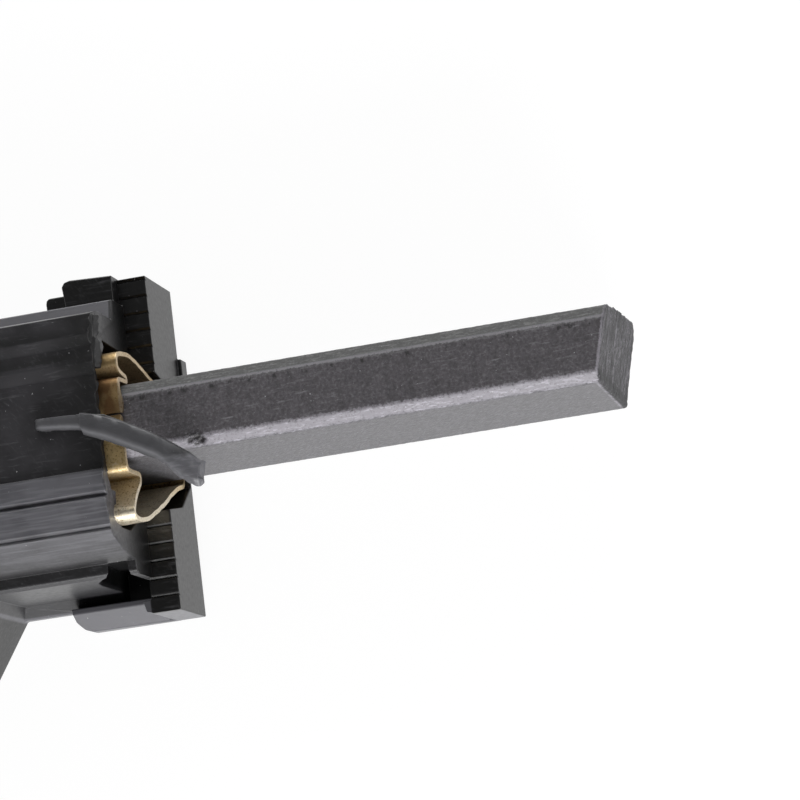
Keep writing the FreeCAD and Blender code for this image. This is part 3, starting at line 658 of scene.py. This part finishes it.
# Y, Z of the sheet's middle line in mm, from the seam round to the seam
SLEEVE_LINE = [
    (0.45, 6.5), (1.4, 6.52), (2.35, 6.5), (2.68, 6.38), (2.76, 6.05), (2.76, 5.2), (2.8, 4.74), (2.95, 4.6),
    (3.12, 4.74), (3.2, 5.3), (3.36, 5.95), (3.66, 6.36), (4.05, 6.42), (4.38, 6.15), (4.6, 5.4), (4.72, 4.4),
    (4.7, 3.2), (4.4, 1.4), (3.92, -0.8), (3.4, -3.1), (2.95, -5.2), (2.78, -6.1), (2.6, -6.42), (2.2, -6.5),
    (0.0, -6.5), (-2.2, -6.5), (-2.62, -6.46), (-2.88, -6.2), (-3.12, -5.2), (-3.48, -4.05), (-3.98, -2.8),
    (-4.55, -1.6), (-5.14, -0.1), (-5.65, 1.3), (-6.14, 2.7), (-6.43, 4.0), (-6.5, 4.9), (-6.4, 5.5),
    (-6.1, 5.82), (-5.7, 5.72), (-5.1, 5.22), (-4.3, 4.4), (-3.75, 3.88), (-3.48, 3.85), (-3.38, 4.15),
    (-3.38, 4.9), (-3.4, 5.9), (-3.3, 6.35), (-3.0, 6.5), (-1.5, 6.52), (0.3, 6.5),
]
# Spacing of the mesh along that line, and of its rows behind the mouth, which grow with their depth
LINE_STEP_MM = 0.16
MOUTH_STEP_MM = 0.12
MOUTH_STEP_GROWTH = 0.12
# At the mouth, the seam's two ends are rounded off and the upper one is bent out, both on the seam's side
SEAM_Y_MM = 0.375
SEAM_REACH_MM = 0.28
SEAM_ROUND = 2.4
LIP_MM = 0.16
LIP_Y_MM = 1.0
LIP_REACH_MM = 0.8
MOUTH_RIPPLE_MM = 0.05
DENT_MM = 0.03
# How deep the ripple and the dents fade out behind the mouth
RIPPLE_FADE_MM = 1.5
DENT_FADE_MM = 4.0
# Along one axis each, where a mask of the brass's finish or of its painted light starts and where it is full,
# in mm
STAINED_Y = (3.4, -3.2)
UPPER_BULGE_Y, LOWER_BULGE_Y = (2.85, 3.3), (-3.2, -4.4)
INSIDE_UPPER_Y, INSIDE_LOWER_Y = (2.7, 2.8), (-2.65, -2.75)
SANDY_Y = (-2.0, -3.4)
MOUTH_HIGHLIGHT_X = (-0.46, -0.38)


def sleeve_line_points():
    """The sheet's middle line, smooth and evenly stepped."""
    points = []
    for number, (start, end) in enumerate(zip(SLEEVE_LINE, SLEEVE_LINE[1:])):
        count = max(2, round(math.dist(start, end) / LINE_STEP_MM))
        points += [smooth_through(SLEEVE_LINE, number + step / count) for step in range(count)]
    points.append(SLEEVE_LINE[-1])
    return points


def sleeve_depths(long_mm):
    """How far each row of the mesh lies behind the mouth."""
    depths = [0.0]
    while depths[-1] < long_mm:
        depths.append(depths[-1] + MOUTH_STEP_MM + depths[-1] * MOUTH_STEP_GROWTH)
    depths[-1] = long_mm
    return depths


def sleeve_mesh():
    """The middle surface of the folded strip, finer towards its mouth."""
    low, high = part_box("brass_sleeve")
    mouth = high.x / MM
    depths = sleeve_depths((high.x - low.x) / MM)
    shape = bmesh.new()
    rows = []
    for y, z in sleeve_line_points():
        row = []
        back = lip = 0.0
        if z > 6.2 and abs(y) < 2.7:
            back = max(0.0, SEAM_REACH_MM - abs(y - SEAM_Y_MM)) ** 2 * SEAM_ROUND
            if y > SEAM_Y_MM:
                lip = LIP_MM * math.exp(-((y - LIP_Y_MM) / LIP_REACH_MM) ** 2)
        ripple = noise.noise(Vector((y * 1.1, z * 1.1, 0.0))) * MOUTH_RIPPLE_MM
        for depth in depths:
            x = mouth - depth + (lip - back + ripple) * math.exp(-depth / RIPPLE_FADE_MM)
            bumpy = noise.noise(Vector((x * 0.9, y * 0.9, z * 0.9)))
            dent = bumpy * DENT_MM * math.exp(-depth / DENT_FADE_MM)
            row.append(shape.verts.new(Vector((x, y + dent, z + dent)) * MM))
        rows.append(row)
    for first, second in zip(rows, rows[1:]):
        for i in range(len(depths) - 1):
            shape.faces.new((first[i], first[i + 1], second[i + 1], second[i]))
    return as_mesh(shape, 180)


def rolled_brass():
    material, tree = new_material("rolled_brass")
    place = millimetres(tree)
    x, y = axes_of(tree, place)[:2]
    mottle = grain_of(tree, place, 1.3, 6.0, 0.7)
    stain = grain_of(tree, millimetres(tree, (1.0, 0.5, 0.5)), 0.8, 3.0)
    pits = grain_of(tree, place, 6.0, 3.0, 0.7)
    brushed = grain_of(tree, millimetres(tree, (0.25, 4.0, 4.0)), 1.5, 3.0)
    unstained = total(tree, ramp(tree, y, STAINED_Y), ramp(tree, stain, (0.35, 0.65), -0.3, 0.3))
    gold = highest(tree, ramp(tree, unstained, (0.1, 0.75)), ramp(tree, y, UPPER_BULGE_Y, 0.0, 0.55))
    low = times(tree, ramp(tree, y, LOWER_BULGE_Y), ramp(tree, mottle, (0.3, 0.5)))
    # Inside the two bulges the sheet is rougher, and painted paler by the way it faces, as painted light
    facing = axes_of(tree, add(tree, "ShaderNodeNewGeometry").outputs["Normal"])[1]
    inside_low = times(tree, ramp(tree, facing, (0.2, 0.5)), ramp(tree, y, INSIDE_LOWER_Y))
    inside_high = times(tree, ramp(tree, facing, (-0.2, -0.5)), ramp(tree, y, INSIDE_UPPER_Y))
    dull = highest(tree, inside_low, inside_high)
    glints = times(tree, ramp(tree, pits, (0.48, 0.36), 0.0, 0.55), ramp(tree, y, SANDY_Y))
    base = coated(
        tree, BRASS_BROWN, (gold, BRASS_GOLD), (low, BRASS_PALE),
        # A painted highlight along the cut mouth
        (times(tree, ramp(tree, x, MOUTH_HIGHLIGHT_X), 0.3), BRASS_PALE),
        # The insides of the bulges painted paler, as painted light
        (highest(tree, times(tree, inside_low, 0.7), times(tree, inside_high, 0.15)), BRASS_PALE),
        (ramp(tree, pits, (0.53, 0.66), 0.0, 0.7), BRASS_PIT), (glints, BRASS_PALE),
    )
    rough = highest(tree, ramp(tree, mottle, (0.3, 0.7), 0.36, 0.58), times(tree, dull, 0.85))
    relief = total(tree, math_of(tree, "SUBTRACT", mottle, pits), times(tree, brushed, 0.7))
    surface(tree, base, rough, relief, 0.5, 0.04, metallic=1.0)
    return material


brass = rolled_brass()
sleeve = new_piece("folded_sleeve", sleeve_mesh(), brass)
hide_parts("brass_sleeve")
thickness = sleeve.modifiers.new("sheet_thickness", "SOLIDIFY")
thickness.thickness = SHEET_MM * MM
thickness.offset = 0.0
thickness.use_even_offset = True
cut_edge = sleeve.modifiers.new("cut_edge", "BEVEL")
cut_edge.width = CUT_EDGE_MM * MM
cut_edge.segments = 2
cut_edge.limit_method = "ANGLE"
cut_edge.angle_limit = math.radians(60)
cut_edge.harden_normals = True
apply_modifiers(sleeve)
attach(sleeve, "holder")


# The brush: a block of pressed carbon. Its chamfers are ground, and the lower one is painted pale, partly as
# its ground grey and partly as a painted sheen, with painted sparkle. Its wide face is dark and finely
# pitted, and the contact face at its end is grooved by the commutator. A flake is gone near the tongue.
CARBON_FACE = (0.068, 0.063, 0.069)
CARBON_STREAK = (0.048, 0.044, 0.048)
CARBON_SCRATCH = (0.19, 0.185, 0.2)
CARBON_TOP = (0.058, 0.059, 0.058)
CARBON_TOP_WORN = (0.12, 0.12, 0.118)
CARBON_GROUND_AND_SHEEN = (0.2, 0.19, 0.213)
CARBON_PAINTED_SPARKLE = (0.4, 0.385, 0.43)
CARBON_UNDER = (0.055, 0.054, 0.058)
CARBON_TIP = (0.015, 0.015, 0.016)
CARBON_PIT = (0.022, 0.02, 0.022)
CARBON_DUST = (0.4, 0.4, 0.42)
BRUSH_GRAIN_MM = 0.15
# Y, Z of the long edges of the near side, and how deep and wide they are worn, in mm
GROUND_EDGES = [(-1.85, 6.25), (-2.5, 5.6), (1.6, 6.25), (2.5, 5.35)]
EDGE_WORN_MM = 0.05
EDGE_WORN_REACH_MM = 0.16
# The missing flake's middle, how far it reaches along each axis, and its depth, in mm
FLAKE = Vector((4.35, -2.1, 6.05))
FLAKE_REACH = Vector((0.7, 0.3, 0.45))
FLAKE_DEEP_MM = 0.22
# How far the faces are uneven, and how deep the commutator's grooves and the fine ones are, in mm
FACE_UNEVEN_MM = 0.012
GROOVE_MM = 0.04
FINE_GROOVE_MM = 0.03
# Where a mask of the carbon's finish, or of the lower chamfer's painted sheen, starts and where it is full,
# in mm: along
# Y on the underside and on the light line at the top chamfer, along Y and Z together on the chamfers, and
# along X at the tip
UNDER_Y = (-2.3, -2.42)
TOP_LINE_Y, TOP_LINE_END_Y, TOP_LINE_Z = (1.5, 1.58), (1.78, 1.66), (5.8, 6.0)
TOP_Z_AND_Y = (7.68, 7.8)
PIT_ROW_Z_AND_Y, PIT_ROW_END_Z_AND_Y = (7.3, 7.42), (7.68, 7.6)
GROUND_Z_LESS_Y = (7.94, 8.08)
TIP_SLANT = 0.25
TIP_X = (31.45, 31.6)
TIP_EDGE_X, TIP_EDGE_END_X = (31.38, 31.46), (31.62, 31.54)


def carbon_relief(place, normal):
    """How far the surface stands out at a place, in mm."""
    rise = (noise.noise(place * 2.4) + noise.noise(place * 5.5)) * FACE_UNEVEN_MM
    for edge_y, edge_z in GROUND_EDGES:
        off = math.hypot(place.y - edge_y, place.z - edge_z) / EDGE_WORN_REACH_MM
        rise -= EDGE_WORN_MM * math.exp(-(off ** 2)) * (0.4 + max(0.0, noise.noise(place * 3.3)))
    if normal.x > 0.5:
        rise += noise.noise(Vector((0.0, place.y * 0.5, place.z * 1.7))) * GROOVE_MM
        rise += noise.noise(Vector((1.0, place.y * 2.2, place.z * 3.1))) * FINE_GROOVE_MM
    inside = 1 - sum(((at - middle) / reach) ** 2 for at, middle, reach in zip(place, FLAKE, FLAKE_REACH))
    if inside > 0:
        rise -= FLAKE_DEEP_MM * min(1.0, inside * 2) * max(0.0, 0.5 + noise.noise(place * 3.0) * 1.6)
    return rise


def weather(piece, relief):
    """Move each point along its normal by the relief there."""
    mesh = piece.data
    normals = [vertex.normal.copy() for vertex in mesh.vertices]
    for vertex, normal in zip(mesh.vertices, normals):
        vertex.co += normal * relief(vertex.co / MM, normal) * MM
    mesh.update()


def pressed_carbon():
    material, tree = new_material("pressed_carbon")
    place = millimetres(tree)
    x, y, z = axes_of(tree, place)
    speckle = grain_of(tree, place, 5.5, 3.0, 0.7)
    jitter = ramp(tree, speckle, (0.3, 0.7), -0.06, 0.06)
    streaks = grain_of(tree, millimetres(tree, (1.6, 0.22, 1.0)), 1.3, 3.0)
    brushed = grain_of(tree, millimetres(tree, (0.8, 1.6, 4.8), (0.0, 0.9, 0.0)), 2.2, 4.0, 0.7)
    rubbed = grain_of(tree, millimetres(tree, (0.6, 2.5, 2.5)), 2.0, 4.0, 0.7)
    grooves = grain_of(tree, millimetres(tree, (1.0, 0.5, 1.7)), 2.4, 4.0, 0.65)
    holes = grain_of(tree, millimetres(tree, (1.0, 0.6, 1.0)), 1.6, 2.0)
    # The faces, with grainy borders between them
    towards_tip = math_of(tree, "SUBTRACT", x, times(tree, y, TIP_SLANT))
    towards_tip = total(tree, towards_tip, jitter)
    z_less_y = total(tree, math_of(tree, "SUBTRACT", z, y), jitter)
    z_and_y = total(tree, z, y, jitter)
    under = ramp(tree, y, UNDER_Y)
    top = ramp(tree, z_and_y, TOP_Z_AND_Y)
    ground = ramp(tree, z_less_y, GROUND_Z_LESS_Y)
    tip = ramp(tree, towards_tip, TIP_X)
    across_line = total(tree, y, jitter)
    top_line = times(
        tree, ramp(tree, across_line, TOP_LINE_Y), ramp(tree, across_line, TOP_LINE_END_Y, 0.0, 0.9),
        ramp(tree, z, TOP_LINE_Z),
    )
    pit_row = times(
        tree, ramp(tree, z_and_y, PIT_ROW_Z_AND_Y), ramp(tree, z_and_y, PIT_ROW_END_Z_AND_Y),
        ramp(tree, holes, (0.56, 0.62)),
    )
    tip_edge = times(
        tree, ramp(tree, towards_tip, TIP_EDGE_X), ramp(tree, towards_tip, TIP_EDGE_END_X),
        ramp(tree, streaks, (0.42, 0.55), 0.2, 0.9),
    )
    from_flake = add(tree, "ShaderNodeVectorMath", {0: place, 1: FLAKE}, operation="DISTANCE").outputs[1]
    flake = times(tree, ramp(tree, from_flake, (0.75, 0.45)), ramp(tree, speckle, (0.56, 0.48)))
    pitted = ramp(tree, speckle, (0.48, 0.32), 0.0, 0.6)
    pitted = times(tree, pitted, ramp(tree, ground, (0.0, 1.0), 1.0, 0.45))
    base = coated(
        tree, CARBON_FACE,
        (ramp(tree, streaks, (0.5, 0.7), 0.0, 0.6), CARBON_STREAK),
        (marks(tree, scratches, millimetres(tree, turn=(0, 0, -0.03)), 0.75), CARBON_SCRATCH),
        (under, CARBON_UNDER),
        (times(tree, ramp(tree, brushed, (0.46, 0.66), 0.0, 0.6), under), CARBON_SCRATCH),
        (top, coated(tree, CARBON_TOP, (ramp(tree, rubbed, (0.5, 0.64)), CARBON_TOP_WORN))),
        # The lower chamfer painted pale: partly its ground grey, partly a painted sheen
        (top_line, CARBON_SCRATCH), (ground, CARBON_GROUND_AND_SHEEN), (pit_row, CARBON_PIT), (tip, CARBON_TIP),
        (times(tree, ramp(tree, grooves, (0.5, 0.64), 0.0, 0.22), tip), CARBON_SCRATCH),
        (tip_edge, CARBON_GROUND_AND_SHEEN), (flake, CARBON_PIT),
        (ramp(tree, speckle, (0.52, 0.7), 0.0, 0.4), CARBON_SCRATCH),
        # Painted sparkle on the lower chamfer
        (times(tree, ramp(tree, rubbed, (0.52, 0.68), 0.0, 0.7), ground), CARBON_PAINTED_SPARKLE),
        (pitted, CARBON_PIT),
        (marks(tree, specks, millimetres(tree, (2.0, 2.0, 2.0)), 0.74), CARBON_DUST),
    )
    worn = highest(
        tree, ramp(tree, towards_tip, TIP_X, 0.0, 0.25), ramp(tree, z_and_y, TOP_Z_AND_Y, 0.0, 0.3),
    )
    rough = total(tree, ramp(tree, speckle, (0.3, 0.7), 0.4, 0.62), worn)
    surface(tree, base, rough, total(tree, speckle, times(tree, streaks, 0.4)), 0.6, 0.05)
    return material


carbon = pressed_carbon()
brush = new_piece("carbon_block", as_mesh(welded_shape("carbon_brush")), carbon)
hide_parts("carbon_brush")
grain = brush.modifiers.new("even_grain", "REMESH")
grain.mode = "VOXEL"
grain.voxel_size = BRUSH_GRAIN_MM * MM
grain.use_smooth_shade = True
apply_modifiers(brush)
weather(brush, carbon_relief)
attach(brush, "brush")


# The blade terminal: bent from the same brass, held in a slot of the rear wall.
# Its edges are broken by the punch, and its tab is as bright as the sleeve's lower bulge.
BLADE_ROUND_MM = 0.1

blade_shape = welded_shape("terminal_blade")
weigh_edges(blade_shape, BLADE_ROUND_MM)
blade = new_piece("blade_terminal", as_mesh(blade_shape), brass)
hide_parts("terminal_blade")
round_edges(blade, BLADE_ROUND_MM)
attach(blade, "holder")


# The pressure spring: drawn steel wire, coiled with eleven turns between the blade's plate and the brush.
SPRING_TURNS = 11.0
SPRING_WIRE_MM = 0.4
TURN_POINTS = 24
WIRE_SIDES = 10
STEEL_DARK = (0.3, 0.29, 0.28)
STEEL_BRIGHT = (0.5, 0.49, 0.47)


def plain_metal(name, dark, bright, rough, scale):
    """Drawn or braided metal, a little darker in its low places."""
    material, tree = new_material(name)
    tone = grain_of(tree, millimetres(tree), scale, 4.0, 0.6)
    base = coated(tree, dark, (ramp(tree, tone, (0.35, 0.65)), bright))
    surface(tree, base, ramp(tree, tone, (0.3, 0.7), rough, rough + 0.15), tone, 0.3, 0.02, metallic=1.0)
    return material


def coil_tree():
    """Geometry nodes that wind a wire into a coil along X, and the keys of their inputs."""
    tree = bpy.data.node_groups.new("wound_wire", "GeometryNodeTree")
    keys = {}
    for title in ("Turns", "Coil radius", "Wire radius", "Length", "Start", "Metal"):
        kind = "NodeSocketMaterial" if title == "Metal" else "NodeSocketFloat"
        keys[title] = tree.interface.new_socket(title, in_out="INPUT", socket_type=kind).identifier
    tree.interface.new_socket("Mesh", in_out="OUTPUT", socket_type="NodeSocketGeometry")
    entry = tree.nodes.new("NodeGroupInput").outputs
    line = add(
        tree, "GeometryNodeCurveSpiral",
        {
            "Resolution": TURN_POINTS, "Rotations": entry["Turns"], "Start Radius": entry["Coil radius"],
            "End Radius": entry["Coil radius"], "Height": entry["Length"],
        },
    ).outputs[0]
    circle = {"Resolution": WIRE_SIDES, "Radius": entry["Wire radius"]}
    section = add(tree, "GeometryNodeCurvePrimitiveCircle", circle).outputs[0]
    swept = {"Curve": line, "Profile Curve": section, "Fill Caps": True}
    wire = add(tree, "GeometryNodeCurveToMesh", swept).outputs[0]
    start = add(tree, "ShaderNodeCombineXYZ", {0: entry["Start"]}).outputs[0]
    along_x = {"Geometry": wire, "Translation": start, "Rotation": (0.0, math.pi / 2, 0.0)}
    laid = add(tree, "GeometryNodeTransform", along_x).outputs[0]
    real = add(tree, "GeometryNodeRealizeInstances", {0: laid}).outputs[0]
    smooth = add(tree, "GeometryNodeSetShadeSmooth", {"Geometry": real}).outputs[0]
    finish = {"Geometry": smooth, "Material": entry["Metal"]}
    add(tree, "NodeGroupOutput", {0: add(tree, "GeometryNodeSetMaterial", finish).outputs[0]})
    return tree, keys


steel = plain_metal("spring_steel", STEEL_DARK, STEEL_BRIGHT, 0.28, 3.0)
low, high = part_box("pressure_spring")
wire_m = SPRING_WIRE_MM / 2 * MM
tree, keys = coil_tree()
spring = new_piece("coil_spring", bpy.data.meshes.new("coil_spring"), steel)
coil = spring.modifiers.new("wound_wire", "NODES")
coil.node_group = tree
coil[keys["Turns"]] = SPRING_TURNS
coil[keys["Coil radius"]] = (high.y - low.y) / 2 - wire_m
coil[keys["Wire radius"]] = wire_m
coil[keys["Length"]] = high.x - low.x - 2 * wire_m
coil[keys["Start"]] = low.x + wire_m
coil[keys["Metal"]] = steel
apply_modifiers(spring)
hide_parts("pressure_spring")
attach(spring, "holder")
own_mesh(spring)


# The shunt lead: a braid of fine copper strands from the blade's plate through the spring into the brush.
# It is tamped into the brush's hole.
COPPER_DARK = (0.42, 0.17, 0.09)
COPPER_BRIGHT = (0.85, 0.45, 0.28)
BRAID_STRANDS = 8
BRAID_PITCH_MM = 5.0
BRAID_STEP_MM = 0.35
# A strand's half thickness against the lead's radius, and against that its half width, how deep its
# middle lies and how far it goes over and under
STRAND_SHARE = 0.17
STRAND_WIDE = 1.6
STRAND_DEEP = 1.8
STRAND_WEAVE = 0.7


def strand_rings(low, high, way, number):
    """The rings of one flat strand, wound to one side and over and under those wound to the other."""
    radius = (high.y - low.y) / 2 / MM
    length = (high.x - low.x) / MM
    strand = radius * STRAND_SHARE
    steps = round(length / BRAID_STEP_MM)
    rings = []
    for step in range(steps + 1):
        x = length * step / steps
        turns = x / BRAID_PITCH_MM
        angle = way * (turns + number / BRAID_STRANDS) * math.tau
        over = way * math.sin(turns * math.tau * BRAID_STRANDS) * strand * STRAND_WEAVE
        out = Vector((0, math.cos(angle), math.sin(angle)))
        side = Vector((0, -out.z, out.y)) * strand * STRAND_WIDE
        centre = Vector((low.x / MM + x, 0, 0)) + out * (radius - strand * STRAND_DEEP + over)
        up = out * strand
        rings.append([(centre + move) * MM for move in (up, side, -up, -side)])
    return rings


def braid_mesh(low, high):
    """Strands wound both ways round the lead's middle line."""
    shape = bmesh.new()
    for way in (1, -1):
        for number in range(BRAID_STRANDS):
            add_tube(shape, strand_rings(low, high, way, number))
    bmesh.ops.recalc_face_normals(shape, faces=shape.faces)
    return as_mesh(shape, 100)


copper = plain_metal("braided_copper", COPPER_DARK, COPPER_BRIGHT, 0.3, 4.0)
low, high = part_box("shunt_lead")
lead = new_piece("copper_braid", braid_mesh(low, high), copper)
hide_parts("shunt_lead")
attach(lead, "holder")
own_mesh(lead)
